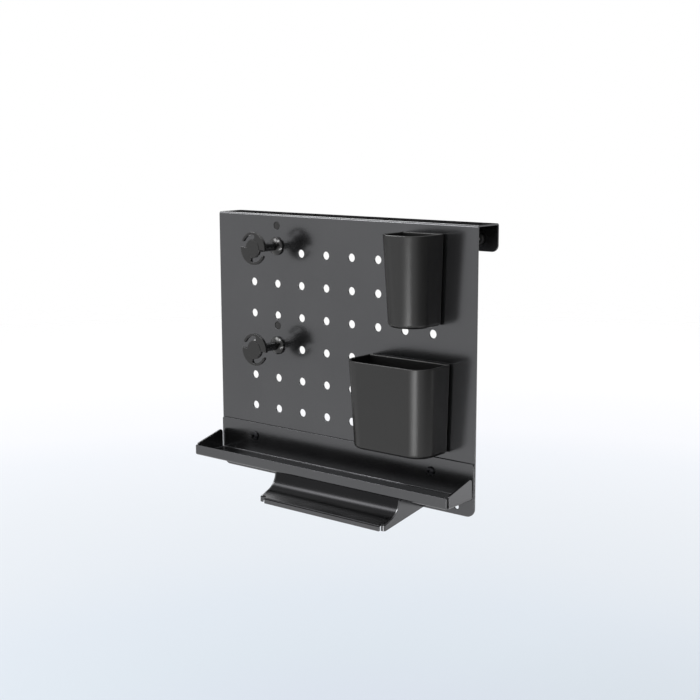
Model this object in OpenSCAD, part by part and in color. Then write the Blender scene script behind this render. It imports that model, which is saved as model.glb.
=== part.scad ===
// Hanging pegboard organizer: a folded steel board with a tray, a saddle hanger,
// two slotted-disc hooks, two magnetic cups and two clamp screws. Millimetres, Z up.
// The board's front face looks along -Y. The middle of the hanging seat is the origin.

/* [Board] */
// Width of the board
board_w = 300; // [290:1:340]
// Height of the board from its lower edge to its top plate
board_h = 250; // [248:1:300]
// Thickness of the board's sheet
sheet_t = 1.5; // [1.2:0.1:2]
// Inner radius of every fold in the sheet
fold_inner_r = 0.7; // [0.3:0.1:1.2]
// Clear width of the channel that hooks over a partition
channel_w = 28.5; // [24:0.5:40]
// Height of the back lip
back_lip_h = 24.5; // [23:0.5:40]
// Radius of the board's lower corners
board_corner_r = 8; // [4:0.5:10]
// Radius of the back lip's lower corners
lip_corner_r = 6; // [3:0.5:9]

/* [Peg holes] */
// Distance between peg holes
peg_pitch = 30; // [26:0.5:36]
// Diameter of a peg hole
peg_d = 7.5; // [6:0.1:9]
// Height of the lowest row above the board's lower edge
peg_first_z = 65; // [60:1:70]
// Least distance from a peg hole to the board's end
peg_end_margin = 40; // [32:1:60]
// Least distance from a peg hole to the top of the board
peg_top_margin = 30; // [12:1:40]
// Least width of sheet left between a peg hole and a hook's hole
peg_web = 1.5; // [1:0.1:3]

/* [Fixing holes] */
// Diameter of the free holes in the board's lower corners
corner_hole_d = 4.6; // [3:0.1:6]
// Distance of a corner hole from the board's end
corner_hole_inset = 18.5; // [12:0.5:26]
// Height of the lowest row of fixing holes
fix_row_z = 7; // [6.5:0.1:8]

/* [Tray] */
// Depth of the tray from the board to the front of its lip
tray_depth = 40; // [38:0.5:60]
// Height of the tray's underside above the board's lower edge
tray_z = 16; // [14:0.5:20]
// Height of the front lip
tray_lip_h = 10; // [6:0.5:14]
// Height of the back plate
tray_back_h = 31.4; // [28:0.1:36]
// Radius of the back plate's top corners
tray_back_r = 2; // [0.5:0.1:4]
// Height of an end gusset at its back
gusset_back_h = 20; // [16:0.5:24]
// Height of an end gusset at its front
gusset_front_h = 11; // [7:0.5:15]
// Radius of a gusset's top corner
gusset_r = 3; // [1:0.1:5]
// How far the tray stays inside the board's ends
tray_inset = 0.5; // [0:0.1:3]
// Width of the relief slots at the tray's corners
tray_relief = 0.9; // [0.6:0.1:1.6]
// Distance of a tray screw from the board's end
tray_screw_inset = 45; // [30:1:70]
// Height of the tray's screws above its underside
tray_screw_rise = 18.5; // [12:0.5:22]

/* [Hanger] */
// Width of the hanger over its cheeks
hanger_w = 145; // [90:1:170]
// Sideways place of the hanger's middle
hanger_x = 25; // [-30:1:30]
// How far the hanger's front reaches from the board
hanger_reach = 57.5; // [54:0.5:70]
// Distance from the board to the top of the saddle
saddle_back = 36; // [30:0.5:37]
// Radius of the saddle's curve
saddle_r = 17; // [13:0.5:18]
// Height of the saddle's hem
hem_h = 4; // [2:0.5:9]
// Gap between the hem and a cheek's return
hem_gap = 1.8; // [1:0.1:4]
// Depth of the notches in the saddle's front corners
saddle_notch = 2; // [1:0.1:4]
// Width of the return on a cheek's nose
return_w = 2.4; // [1:0.1:4]
// Height of a cheek's nose
nose_h = 4.3; // [3:0.1:6]
// Height of a cheek's lower edge at the board
cheek_low = 0.5; // [0:0.1:2]
// Width of a cheek's rear tab
tab_w = 16; // [14:0.5:24]
// Length of the relief slot over a cheek
cheek_slot_l = 10; // [4:0.5:14]
// Height of the relief slot over a cheek
cheek_slot_h = 1.8; // [1:0.1:3]

/* [Hooks] */
// Diameter of a hook's disc
disc_d = 30; // [26:0.5:36]
// Thickness of a hook's disc
disc_t = 3.4; // [2.8:0.1:5]
// Distance from the board to the front of the disc
hook_reach = 33.5; // [24:0.5:50]
// Diameter of a hook's shaft
shaft_d = 8; // [7:0.1:9]
// Diameter of a hook's collar
collar_d = 17; // [14:0.5:20]
// Thickness of a collar's rim
collar_t = 1.8; // [1:0.1:3]
// Height of a collar's bowl over its rim
bowl_h = 2.5; // [1.5:0.1:4]
// Width of the slots in a disc
slot_w = 4.1; // [2:0.1:4.5]
// Width of the arm outside each slot
arm_w = 2.25; // [1.8:0.05:3]
// Sideways place of both hooks
hook_x = -75; // [-90:1:-60]
// Height of the lower hook above the board's lower edge
lower_hook_z = 126.5; // [110:0.5:160]
// Distance from the upper hook to the top of the board
upper_hook_drop = 29.5; // [29.5:0.5:40]
// Distance from a hook's axis up to its key peg
key_rise = 19; // [16:0.5:19]
// Width of a hook's rear key plate
key_plate_w = 13; // [10:0.5:14]
// Thickness of a hook's rear key plate
key_plate_t = 2.6; // [2.3:0.1:3.5]
// How far a key peg's end lies behind the board's face
key_recess = 0.3; // [0:0.1:0.6]

/* [Cups] */
// Height of both cups
cup_h = 78.5; // [50:0.5:84]
// Depth of both cups at the rim
cup_rim_depth = 40.5; // [36:0.5:50]
// Depth of both cups at the base
cup_base_depth = 36; // [30:0.5:36]
// How much narrower both cups are at the base than at the rim
cup_narrowing = 5; // [0:0.5:6]
// Wall thickness of both cups
cup_wall = 1.8; // [1.6:0.1:2.6]
// Thickness of the cups' floors
cup_floor = 2.2; // [1.6:0.1:4]
// Gap between a cup and the board
cup_gap = 1.5; // [1:0.1:2]
// Width of the pen cup
pen_cup_w = 43.7; // [38:0.1:50]
// Front corner radius of the pen cup
pen_cup_r = 18.5; // [10:0.5:19]
// Sideways place of the pen cup
pen_cup_x = 95.5; // [80:0.5:110]
// Height of the pen cup's base above the board's lower edge
pen_cup_z = 163; // [150:0.5:164]
// Width of the utility cup
utility_cup_w = 87.5; // [70:0.5:96]
// Front corner radius of the utility cup
utility_cup_r = 17; // [6:0.5:19]
// Sideways place of the utility cup
utility_cup_x = 81; // [70:0.5:90]
// Height of the utility cup's base above the board's lower edge
utility_cup_z = 52.5; // [51:0.5:60]
// Radius of the cups' rear corners
cup_back_r = 2; // [1:0.1:3]

/* [Magnets] */
// Diameter of a cup magnet
magnet_d = 16; // [10:0.5:18]
// Depth of a magnet's pocket in the cup's back
magnet_seat = 1.1; // [0.8:0.1:1.3]
// Distance from a cup's base or rim to the middle of the nearest magnets
magnet_inset = 17; // [12:0.5:22]

/* [Clamp] */
// Distance of a clamp screw from the board's end
clamp_inset = 18; // [14:0.5:40]
// Distance of a clamp screw below the top of the board
clamp_drop = 14; // [12:0.5:14]
// Diameter of a clamp screw
clamp_d = 6; // [5:0.1:7]
// Length of a clamp screw's thread
clamp_len = 16; // [14:0.5:24]
// Diameter of the nose that carries the pad
clamp_nose_d = 3; // [2.4:0.1:4]
// Across flats of the key socket in a clamp screw
clamp_socket_af = 3; // [2:0.1:3.5]
// Diameter of a clamp pad
pad_d = 9; // [8:0.5:13]
// Thickness of a clamp pad
pad_t = 2.6; // [2:0.1:3.4]
// Outer diameter of a clamp bush
bush_d = 9; // [8.4:0.1:11]
// Diameter of a clamp bush's flange
bush_flange_d = 12; // [11.5:0.1:15]
// Thickness of a clamp bush's flange
bush_flange_t = 1; // [0.6:0.1:2]
// Length of a clamp bush behind the back lip
bush_len = 5; // [3:0.5:8]

/* [Fasteners] */
// Diameter of the small screws
screw_d = 4; // [3:0.1:4.4]
// Diameter of a small screw's head
head_d = 8; // [7.2:0.1:9]
// Height of a small screw's head
head_h = 2.4; // [1.8:0.1:3.2]
// Across flats of the key socket in a small screw
socket_af = 2.5; // [1.5:0.1:3]
// Length of a screw beyond its nut
screw_tail = 0.8; // [0.2:0.1:2]
// Across flats of a nut
nut_af = 7; // [6.6:0.1:8.4]
// Height of a nut
nut_h = 3.2; // [2.4:0.1:3.6]
// Length of a hook's rear screw
hook_screw_l = 10; // [8:0.5:14]
// Diameter of a hook screw's sunk head
hook_head_d = 7.6; // [6.5:0.1:9]
// Height of a hook screw's sunk head
hook_head_h = 1.9; // [1.5:0.1:2.2]

/* [Clearances] */
// Radial clearance of a fixed screw, peg or bush in its hole
hole_clear = 0.2; // [0.1:0.05:0.4]
// Radial clearance of a screw in its thread and of a turning nose
run_clear = 0.06; // [0.02:0.01:0.1]
// Gap between a part that moves and the part it rests against
seat_clear = 0.2; // [0.1:0.05:0.3]

/* [Hidden] */
// Every node of the assembly
// Name of the node to draw
// Segments of a true circle
$fn = 72;
// Segments of a circle inside a hull
hull_fn = 32;
// How far a cut runs past the face it leaves
over = 1;
// Thickness of the slabs at the ends of a cup's hull
slab = 0.2;

// Outer radius of a fold
fold_r = sheet_t + fold_inner_r;
// Depth of the board over its channel
board_depth = 2 * sheet_t + channel_w;
// Place of the hanging seat's middle, behind the board's face
seat_y = sheet_t + channel_w / 2;
// Height of the hanging seat
seat_z = board_h - sheet_t;
// Height of the upper hook
upper_hook_z = board_h - upper_hook_drop;
// Heights of both hooks
hook_heights = [lower_hook_z, upper_hook_z];
// Columns of peg holes on each side of the middle
peg_half_columns = floor((board_w / 2 - peg_end_margin) / peg_pitch + 0.5);
// Rows of peg holes
peg_rows = 1 + floor((board_h - peg_top_margin - peg_first_z) / peg_pitch);
// Sideways places of the peg holes
peg_places = [for (i = [1 : peg_half_columns], side = [-1, 1]) side * (i - 0.5) * peg_pitch];
// Heights of the peg holes
peg_heights = [for (j = [0 : peg_rows - 1]) peg_first_z + j * peg_pitch];

// Half width of the tray over its gussets
tray_half = board_w / 2 - tray_inset;
// Half width of the tray's flat floor
floor_half = tray_half - fold_r;
// Half width of the tray's lip
lip_half = tray_half - tray_relief;
// Sideways place of the tray's screws
tray_screw_x = board_w / 2 - tray_screw_inset;
// Height of the tray's screws
tray_screw_z = tray_z + tray_screw_rise;
// Distances from the board to a gusset's back and front edges
gusset_back = fold_r + tray_relief;
gusset_front = tray_depth - fold_r - tray_relief;

// Turn of the saddle from upright to its slope
saddle_turn = 68;
// Middle of the saddle's curve, as distance from the board and height
saddle_middle = [saddle_back + saddle_r, tray_z];
// Direction of the curve's end seen from its middle
saddle_end = 180 + saddle_turn;
// Length of the saddle's flat slope
saddle_run = (hanger_reach - sheet_t - saddle_middle[0] - (saddle_r + sheet_t) * cos(saddle_end))
    / -sin(saddle_end);
// Inner corner between the slope and the hem
hem_corner = saddle_middle + (saddle_r + sheet_t) * [cos(saddle_end), sin(saddle_end)]
    + saddle_run * [-sin(saddle_end), cos(saddle_end)];
// Lower end of the saddle's curve on its upper face
curve_end = saddle_middle + saddle_r * [cos(saddle_end), sin(saddle_end)];
// Height of the slope's upper face at the front
nose_top = curve_end[1] - (hanger_reach - curve_end[0]) / tan(saddle_end);
// Ends of the hanger over its cheeks
hanger_left = hanger_x - hanger_w / 2;
hanger_right = hanger_x + hanger_w / 2;
// Distance from a cheek's outer face to the end of the hem
hem_inset = sheet_t + return_w + hem_gap;
// Distance from a cheek's outer face to its tab's screw
tab_screw_inset = fold_r + (tab_w - fold_r) / 2;

// Radii of a disc's slots
slot_out = disc_d / 2 - arm_w;
slot_in = slot_out - slot_w;
// Directions of a slot's closed end, of the arm's tip and of the mouth's far side
slot_start = 88;
arm_tip = 154;
mouth_end = 175;
// Height of the raised middle of a disc, and how far it stays inside the slots
disc_raise = 0.4;
raise_inset = 0.5;
// How far the hole at a slot's closed end is wider than the slot, on each side
slot_relief = 0.25;
// Diameter and length of the spigot that carries a disc
spigot_d = 5;
spigot_l = 2;
// Distance below a collar's rim to the middle of its bowl's sphere
bowl_drop = (pow(collar_d / 2, 2) - pow(shaft_d / 2, 2) - pow(bowl_h, 2)) / (2 * bowl_h);
// Radius of a collar's bowl
bowl_r = norm([collar_d / 2, bowl_drop]);

// Thickness of a magnet
magnet_t = cup_gap - seat_clear + magnet_seat;

// Sideways place and height of the clamp screws
clamp_x = board_w / 2 - clamp_inset;
clamp_z = board_h - clamp_drop;
// Front face of the back lip
lip_front = sheet_t + channel_w;
// Rear face of the back lip
lip_rear = lip_front + sheet_t;
// Depth of the key socket in a clamp screw
clamp_socket_h = 3;
// Depth of the key socket in a small screw
socket_h = 1.2;

// Moves the assembly so that the middle of the hanging seat is the origin
module seated() {
    translate([0, -seat_y, -seat_z]) children();
}

// Extrudes an outline of distance in front of the board and height, along X
module along_x(x0, x1) {
    translate([x1, 0, 0]) rotate([90, 0, -90]) linear_extrude(x1 - x0) children();
}

// Extrudes an outline of X and height, along Y
module along_y(y0, y1) {
    translate([0, y1, 0]) rotate([90, 0, 0]) linear_extrude(y1 - y0) children();
}

// Round bar along Y
module bar_y(x, z, y0, y1, d) {
    translate([x, y1, z]) rotate([90, 0, 0]) cylinder(d = d, h = y1 - y0);
}

// Hexagonal bar along Y, by its size across flats
module hex_y(x, z, y0, y1, af) {
    translate([x, y1, z]) rotate([90, 0, 0]) cylinder(d = af / cos(30), h = y1 - y0, $fn = 6);
}

// Turns a profile of radius and height about an axis along -Y that starts at the given place
module turned_y(x, y, z) {
    translate([x, y, z]) rotate([90, 0, 0]) rotate_extrude() children();
}

// Part of a ring between two directions less than half a turn apart
module ring_part(r_in, r_out, a0, a1) {
    reach = 2 * r_out;
    mid = (a0 + a1) / 2;
    intersection() {
        difference() {
            circle(r_out);
            if (r_in > 0) circle(r_in);
        }
        polygon([[0, 0], reach * [cos(a0), sin(a0)], reach * [cos(mid), sin(mid)],
            reach * [cos(a1), sin(a1)]]);
    }
}

// Cross-section of a fold that starts in the given direction
module fold(direction) {
    ring_part(fold_inner_r, fold_r, direction, direction + 90);
}

// Plate outline that stands on z = 0 with two rounded lower corners
module round_footed(w, h, r) {
    translate([-w / 2, r]) square([w, h - r]);
    translate([r - w / 2, 0]) square([w - 2 * r, r]);
    for (side = [-1, 1]) translate([side * (w / 2 - r), r]) circle(r);
}

// True where a peg hole would run into a hook's own two holes
function meets_hook(x, z) = len([for (h = hook_heights, rise = [0, key_rise])
    if (norm([x - hook_x, z - h - rise]) < peg_d + peg_web) 1]) > 0;

module pegboard_panel() {
    seated() color("#58595b") difference() {
        union() {
            along_y(0, sheet_t) round_footed(board_w, board_h - fold_r, board_corner_r);
            along_x(-board_w / 2, board_w / 2) {
                translate([-fold_r, board_h - fold_r]) fold(0);
                translate([fold_r - board_depth, board_h - sheet_t])
                    square([board_depth - 2 * fold_r, sheet_t]);
                translate([fold_r - board_depth, board_h - fold_r]) fold(90);
            }
            translate([0, 0, board_h - back_lip_h])
                along_y(lip_front, lip_rear) round_footed(board_w, back_lip_h - fold_r, lip_corner_r);
        }
        for (x = peg_places, z = peg_heights) if (!meets_hook(x, z))
            bar_y(x, z, -over, sheet_t + over, peg_d);
        for (z = hook_heights, rise = [0, key_rise])
            bar_y(hook_x, z + rise, -over, sheet_t + over, peg_d);
        for (side = [-1, 1]) {
            bar_y(side * (board_w / 2 - corner_hole_inset), fix_row_z, -over, sheet_t + over,
                corner_hole_d);
            bar_y(side * tray_screw_x, tray_screw_z, -over, sheet_t + over,
                screw_d + 2 * hole_clear);
            bar_y(side * clamp_x, clamp_z, lip_front - over, lip_rear + over,
                bush_d + 2 * hole_clear);
        }
        for (x = [hanger_left + tab_screw_inset, hanger_right - tab_screw_inset])
            bar_y(x, fix_row_z, -over, sheet_t + over, screw_d + 2 * hole_clear);
    }
}

// Outline of a gusset, with its sloping top and rounded top corner
module gusset_outline() {
    low = tray_z + fold_r;
    back_top = tray_z + gusset_back_h;
    front_top = tray_z + gusset_front_h;
    slope = atan((back_top - front_top) / (gusset_front - gusset_back));
    corner = [gusset_back + gusset_r, back_top - gusset_r * (1 + sin(slope)) / cos(slope)];
    tangent = corner + gusset_r * [sin(slope), cos(slope)];
    polygon([[gusset_back, low], [gusset_front, low], [gusset_front, front_top], tangent, corner,
        [gusset_back, corner[1]]]);
    translate(corner) circle(gusset_r);
}

module tray_shelf() {
    seated() color("#505153") difference() {
        union() {
            along_x(-lip_half, lip_half) {
                translate([tray_depth - sheet_t, tray_z + fold_r])
                    square([sheet_t, tray_lip_h - fold_r]);
                translate([tray_depth - fold_r, tray_z + fold_r]) fold(270);
            }
            along_x(-floor_half, floor_half)
                translate([fold_r, tray_z]) square([tray_depth - 2 * fold_r, sheet_t]);
            along_x(-tray_half, tray_half) translate([fold_r, tray_z + fold_r]) fold(180);
            translate([0, 0, tray_z + tray_back_h]) mirror([0, 0, 1])
                along_y(-sheet_t, 0) round_footed(2 * tray_half, tray_back_h - fold_r, tray_back_r);
            for (side = [0, 1]) mirror([side, 0, 0]) {
                along_y(-gusset_front, -gusset_back)
                    translate([floor_half, tray_z + fold_r]) fold(270);
                along_x(tray_half - sheet_t, tray_half) gusset_outline();
            }
        }
        for (side = [-1, 1]) bar_y(side * tray_screw_x, tray_screw_z, -sheet_t - over, over,
            screw_d + 2 * hole_clear);
    }
}

// Pan-head screw along Y, its head on the face at -y_face and its tip behind the board
module pan_screw(x, z, y_face, tip) {
    difference() {
        union() {
            turned_y(x, -y_face, z) intersection() {
                square([head_d / 2, head_h]);
                translate([0, head_h - head_d]) circle(head_d);
            }
            bar_y(x, z, -y_face, tip, screw_d);
        }
        hex_y(x, z, -y_face - head_h - over, socket_h - y_face - head_h, socket_af);
    }
}

// Hexagonal nut along Y that lies against the board's rear face
module rear_nut(x, z) {
    difference() {
        hex_y(x, z, sheet_t, sheet_t + nut_h, nut_af);
        bar_y(x, z, sheet_t - over, sheet_t + nut_h + over, screw_d + 2 * run_clear);
    }
}

module tray_screws() {
    seated() color("#18181a") for (side = [-1, 1])
        pan_screw(side * tray_screw_x, tray_screw_z, sheet_t, sheet_t + nut_h + screw_tail);
}

module tray_nuts() {
    seated() color("silver") for (side = [-1, 1]) rear_nut(side * tray_screw_x, tray_screw_z);
}

// Outline of the saddle's curve and its slope of the given length
module saddle_outline(run) {
    translate(saddle_middle) {
        ring_part(saddle_r, saddle_r + sheet_t, 180, saddle_end);
        rotate(saddle_end) translate([saddle_r, 0]) square([sheet_t, run]);
    }
}

module hanger_saddle() {
    seated() color("#3a3b3d") {
        along_x(hanger_left + sheet_t, hanger_right - sheet_t)
            saddle_outline(saddle_run - saddle_notch);
        along_x(hanger_left + hem_inset, hanger_right - hem_inset) saddle_outline(saddle_run);
        along_x(hanger_left + hem_inset, hanger_right - hem_inset)
            translate(hem_corner) {
                ring_part(0, sheet_t, 0, saddle_end - 180);
                translate([0, -hem_h]) square([sheet_t, hem_h]);
            }
    }
}

// Outline of a cheek: flat under the tray, hollowed to the saddle's curve, with a blunt nose
module cheek_outline() {
    difference() {
        polygon([[fold_r, cheek_low], [fold_r, tray_z], [saddle_back, tray_z], curve_end,
            [hanger_reach, nose_top], [hanger_reach, nose_top - nose_h]]);
        translate(saddle_middle) circle(saddle_r);
        translate([saddle_back + sheet_t - cheek_slot_l, tray_z - cheek_slot_h])
            square([cheek_slot_l, cheek_slot_h + over]);
    }
}

// Cheek with its outer face at x = 0, its rear tab and its nose's return turned towards -X
module cheek() {
    difference() {
        union() {
            along_x(-sheet_t, 0) cheek_outline();
            translate([-sheet_t - return_w, -hanger_reach, nose_top - nose_h])
                cube([return_w + sheet_t, sheet_t, nose_h]);
            translate([-fold_r, -fold_r, cheek_low]) linear_extrude(tray_z - cheek_low) fold(0);
            translate([-tab_w, -sheet_t, cheek_low])
                cube([tab_w - fold_r, sheet_t, tray_z - cheek_low]);
        }
        bar_y(-tab_screw_inset, fix_row_z, -sheet_t - over, over, screw_d + 2 * hole_clear);
    }
}

module hanger_left_cheek() {
    seated() color("#636466") translate([hanger_left, 0, 0]) mirror([1, 0, 0]) cheek();
}

module hanger_right_cheek() {
    seated() color("#636466") translate([hanger_right, 0, 0]) cheek();
}

module hanger_screws() {
    seated() color("#18181a") for (x = [hanger_left + tab_screw_inset, hanger_right - tab_screw_inset])
        pan_screw(x, fix_row_z, sheet_t, sheet_t + nut_h + screw_tail);
}

module hanger_nuts() {
    seated() color("silver") for (x = [hanger_left + tab_screw_inset, hanger_right - tab_screw_inset])
        rear_nut(x, fix_row_z);
}

// Outline of one of a disc's two slots, open to the rim past the arm's tip
module disc_slot() {
    mid = (slot_in + slot_out) / 2;
    difference() {
        ring_part(slot_in, disc_d / 2 + over, slot_start, mouth_end);
        ring_part(slot_out, disc_d / 2 + 2 * over, slot_start / 2, arm_tip);
    }
    rotate(slot_start) translate([mid, 0]) circle(slot_w / 2 + slot_relief);
}

// Slotted disc on the front of a hook
module hook_disc(z) {
    seated() color("#2e2e30") difference() {
        translate([hook_x, 0, z]) {
            along_y(disc_raise - hook_reach, disc_t - hook_reach) difference() {
                circle(disc_d / 2);
                for (turn = [0, 180]) rotate(turn) disc_slot();
            }
            along_y(-hook_reach, disc_raise - hook_reach) circle(slot_in - raise_inset);
        }
        bar_y(hook_x, z, disc_t - hook_reach - spigot_l, disc_t - hook_reach + over,
            spigot_d + 2 * run_clear);
    }
}

// Shaft of a hook with its collar on the board, a spigot at each end and a screw hole behind
module hook_shaft(z) {
    shaft_l = hook_reach - disc_t;
    seated() color("#1d1d1f") difference() {
        union() {
            bar_y(hook_x, z, -shaft_l, 0, shaft_d);
            bar_y(hook_x, z, run_clear - shaft_l - spigot_l, -shaft_l, spigot_d);
            bar_y(hook_x, z, -collar_t, 0, collar_d);
            turned_y(hook_x, -collar_t, z) intersection() {
                square([collar_d / 2, bowl_h]);
                translate([0, -bowl_drop]) circle(bowl_r);
            }
            bar_y(hook_x, z, 0, sheet_t, peg_d - 2 * hole_clear);
        }
        bar_y(hook_x, z, sheet_t - hook_screw_l, sheet_t + over, screw_d + 2 * run_clear);
    }
}

// Rear plate of a hook with the peg that stops it from turning
module hook_key_plate(z) {
    rear = sheet_t + key_plate_t;
    seated() color("#1d1d1f") difference() {
        union() {
            along_y(sheet_t, rear) {
                for (rise = [0, key_rise]) translate([hook_x, z + rise]) circle(key_plate_w / 2);
                translate([hook_x - key_plate_w / 2, z]) square([key_plate_w, key_rise]);
            }
            bar_y(hook_x, z + key_rise, key_recess, sheet_t, peg_d - 2 * hole_clear);
        }
        bar_y(hook_x, z, sheet_t - over, rear + over, screw_d + 2 * hole_clear);
        bar_y(hook_x, z, rear - hook_head_h, rear + over, hook_head_d + 2 * hole_clear);
    }
}

// Screw that holds a hook and its key plate together through the board
module hook_screw(z) {
    rear = sheet_t + key_plate_t;
    seated() color("silver") difference() {
        union() {
            bar_y(hook_x, z, rear - hook_head_h, rear, hook_head_d);
            bar_y(hook_x, z, rear - hook_screw_l, rear - hook_head_h, screw_d);
        }
        hex_y(hook_x, z, rear - socket_h, rear + over, socket_af);
    }
}

module upper_hook_disc() { hook_disc(upper_hook_z); }
module upper_hook_shaft() { hook_shaft(upper_hook_z); }
module upper_hook_key_plate() { hook_key_plate(upper_hook_z); }
module upper_hook_screw() { hook_screw(upper_hook_z); }
module lower_hook_disc() { hook_disc(lower_hook_z); }
module lower_hook_shaft() { hook_shaft(lower_hook_z); }
module lower_hook_key_plate() { hook_key_plate(lower_hook_z); }
module lower_hook_screw() { hook_screw(lower_hook_z); }

// Depth of a cup at a height over its base
function cup_depth(h) = cup_base_depth + (cup_rim_depth - cup_base_depth) * h / cup_h;

// Width of a cup at a height over its base, from its width at the rim
function cup_width(w, h) = w - cup_narrowing * (cup_h - h) / cup_h;

// Slab of a cup's plan, drawn in from its outer face, its front and sides depending on the height
module cup_slab(w, r, h, inset) {
    depth = cup_depth(h) - 2 * inset;
    outer_half = cup_width(w, h) / 2;
    half = outer_half - inset;
    back_r = max(cup_back_r - inset, slab);
    front_r = min(r, outer_half) - inset;
    translate([0, -cup_gap - inset, h]) linear_extrude(slab) for (side = [-1, 1]) {
        translate([side * (half - back_r), -back_r]) circle(back_r, $fn = hull_fn);
        translate([side * (half - front_r), front_r - depth]) intersection() {
            circle(front_r, $fn = 2 * hull_fn);
            translate([-front_r, -front_r]) square([2 * front_r, front_r]);
        }
    }
}

// Heights of the two rows of magnets over a cup's base
function magnet_rows() = [magnet_inset, cup_h - magnet_inset];

// Cup with a sloping front and sides, its back pocketed for magnets in the given columns
module cup(x, z, w, r, columns) {
    seated() color("#444446") translate([x, 0, z]) difference() {
        hull() {
            cup_slab(w, r, 0, 0);
            cup_slab(w, r, cup_h - slab, 0);
        }
        hull() {
            cup_slab(w, r, cup_floor, cup_wall);
            cup_slab(w, r, cup_h, cup_wall);
        }
        for (cx = columns, h = magnet_rows())
            bar_y(cx, h, -seat_clear - magnet_t, over - cup_gap, magnet_d + 2 * run_clear);
    }
}

// Disc magnets in a cup's back
module cup_magnets(x, z, columns) {
    seated() color("silver") for (cx = columns, h = magnet_rows())
        bar_y(x + cx, z + h, -seat_clear - magnet_t, -seat_clear, magnet_d);
}

// Columns of magnets behind each cup
pen_columns = [0];
utility_column = utility_cup_w / 4;
utility_columns = [-utility_column, utility_column];

module pen_cup() { cup(pen_cup_x, pen_cup_z, pen_cup_w, pen_cup_r, pen_columns); }
module pen_cup_magnets() { cup_magnets(pen_cup_x, pen_cup_z, pen_columns); }
module utility_cup() {
    cup(utility_cup_x, utility_cup_z, utility_cup_w, utility_cup_r, utility_columns);
}
module utility_cup_magnets() { cup_magnets(utility_cup_x, utility_cup_z, utility_columns); }

module clamp_bushes() {
    seated() color("silver") for (side = [-1, 1]) difference() {
        union() {
            bar_y(side * clamp_x, clamp_z, lip_front, lip_rear + bush_len, bush_d);
            bar_y(side * clamp_x, clamp_z, lip_rear, lip_rear + bush_flange_t, bush_flange_d);
        }
        bar_y(side * clamp_x, clamp_z, lip_front - over, lip_rear + bush_len + over,
            clamp_d + 2 * run_clear);
    }
}

// Pad that rests against the front of the back lip
module clamp_pad(side) {
    rear = lip_front - seat_clear;
    seated() color("#18181a") difference() {
        bar_y(side * clamp_x, clamp_z, rear - pad_t, rear, pad_d);
        bar_y(side * clamp_x, clamp_z, rear - pad_t - over, rear + over,
            clamp_nose_d + 2 * run_clear);
    }
}

// Set screw whose nose carries the pad
module clamp_screw(side) {
    seated() color("silver") difference() {
        union() {
            bar_y(side * clamp_x, clamp_z, lip_front, lip_front + clamp_len, clamp_d);
            bar_y(side * clamp_x, clamp_z, lip_front - pad_t, lip_front, clamp_nose_d);
        }
        hex_y(side * clamp_x, clamp_z, lip_front + clamp_len - clamp_socket_h,
            lip_front + clamp_len + over, clamp_socket_af);
    }
}

module left_clamp_pad() { clamp_pad(-1); }
module left_clamp_screw() { clamp_screw(-1); }
module right_clamp_pad() { clamp_pad(1); }
module right_clamp_screw() { clamp_screw(1); }

pegboard_panel();
tray_shelf();
tray_screws();
tray_nuts();
hanger_saddle();
hanger_left_cheek();
hanger_right_cheek();
hanger_screws();
hanger_nuts();
upper_hook_disc();
upper_hook_shaft();
upper_hook_key_plate();
upper_hook_screw();
lower_hook_disc();
lower_hook_shaft();
lower_hook_key_plate();
lower_hook_screw();
pen_cup();
pen_cup_magnets();
utility_cup();
utility_cup_magnets();
clamp_bushes();
left_clamp_pad();
left_clamp_screw();
right_clamp_pad();
right_clamp_screw();
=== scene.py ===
import math

import bmesh
import bpy
from mathutils import Matrix, Vector


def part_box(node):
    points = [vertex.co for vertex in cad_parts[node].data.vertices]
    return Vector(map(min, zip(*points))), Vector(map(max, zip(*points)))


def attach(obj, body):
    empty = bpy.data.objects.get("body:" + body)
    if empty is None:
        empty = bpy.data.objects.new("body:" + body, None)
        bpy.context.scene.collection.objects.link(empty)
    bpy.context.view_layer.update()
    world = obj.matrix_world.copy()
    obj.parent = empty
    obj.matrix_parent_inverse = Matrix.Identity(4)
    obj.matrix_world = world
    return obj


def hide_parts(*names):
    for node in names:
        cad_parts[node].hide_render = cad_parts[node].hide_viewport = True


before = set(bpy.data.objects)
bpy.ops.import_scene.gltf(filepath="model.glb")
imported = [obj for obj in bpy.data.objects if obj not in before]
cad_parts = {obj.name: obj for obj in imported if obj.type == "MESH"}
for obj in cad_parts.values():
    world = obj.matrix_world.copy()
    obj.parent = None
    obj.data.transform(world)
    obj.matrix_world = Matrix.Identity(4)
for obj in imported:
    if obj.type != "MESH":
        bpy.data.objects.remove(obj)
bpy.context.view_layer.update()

# A mesh for each node of the pegboard organizer's frame, with its finish, and then the studio

MM = 0.001
QUARTER = math.pi / 2
TURN = 2 * math.pi

# What everything is set against: the board's front face and lower edge, and its height, half width
# and depth over the back lip
PANEL_LOW, PANEL_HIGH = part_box("pegboard_panel")
FACE_Y = PANEL_LOW.y
BASE_Z = PANEL_LOW.z
BOARD_H = PANEL_HIGH.z - PANEL_LOW.z
BOARD_HALF = (PANEL_HIGH.x - PANEL_LOW.x) / 2
BOARD_DEPTH = PANEL_HIGH.y - PANEL_LOW.y

# The sheet that the board, tray and hanger are folded from
SHEET = 1.5 * MM
FOLD_INNER = 0.7 * MM
FOLD_R = SHEET + FOLD_INNER
FOLD_LENGTH = QUARTER * (FOLD_INNER + SHEET / 2)
SHEET_EDGE = 0.22 * MM

# How finely round things are divided, in steps to a full turn or to an edge
FINE_STEPS = 96
PEG_STEPS = 48
BORE_STEPS = 40
HOLE_STEPS = 32
CORNER_STEPS = 8
EDGE_STEPS = 3
FOLD_STEPS = 10

# Solids of revolution start this far from their axis
AXIS_R = 0.05 * MM

# Degrees between faces from which an edge is shown sharp
SHEET_SHARP = 40
TURNED_SHARP = 35

# How strongly large faces lead the shading of their neighbours, up to 100
AREA_WEIGHT = 90

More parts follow.
